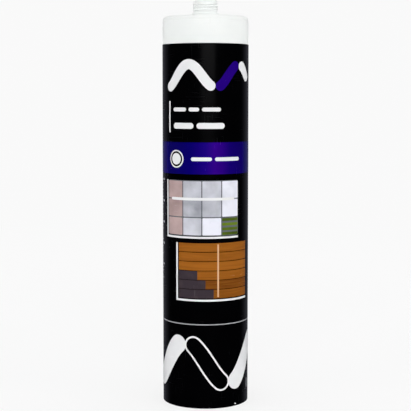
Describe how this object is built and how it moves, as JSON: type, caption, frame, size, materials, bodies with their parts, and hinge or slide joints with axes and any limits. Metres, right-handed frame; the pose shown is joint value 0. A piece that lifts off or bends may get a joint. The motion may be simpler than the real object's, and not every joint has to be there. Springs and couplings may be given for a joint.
{
  "type": "caulk tube",
  "caption": "Rigid white plastic cartridge for sealant, with a dark printed wrap, a closed threaded stub on its head and a sliding piston in its open rear end.",
  "frame": {"origin": "centre of the rear rim, in the plane that the tube stands on", "axes": "+Z along the barrel from the open rear end to the threaded stub; +Y towards the label's butt seam at the back, so that the label's face looks along -Y"},
  "size_m": [0.048, 0.048, 0.2252],
  "materials": {
    "white_polyethylene": "satin white injection-moulded polyethylene",
    "printed_film": "glossy black printed film with violet and white fields",
    "natural_polyethylene": "matt uncoloured polyethylene",
    "white_paste": "white acrylic paste"
  },
  "bodies": {
    "cartridge": {"barrel": "white_polyethylene", "label": "printed_film", "sealant": "white_paste"},
    "plunger": {"piston": "natural_polyethylene"}
  },
  "joints": [
    {"name": "piston_slide", "type": "slide", "parent": "cartridge", "child": "plunger", "axis": [0, 0, 1], "range_m": [0, 0.188], "deforming": ["sealant"]}
  ]
}
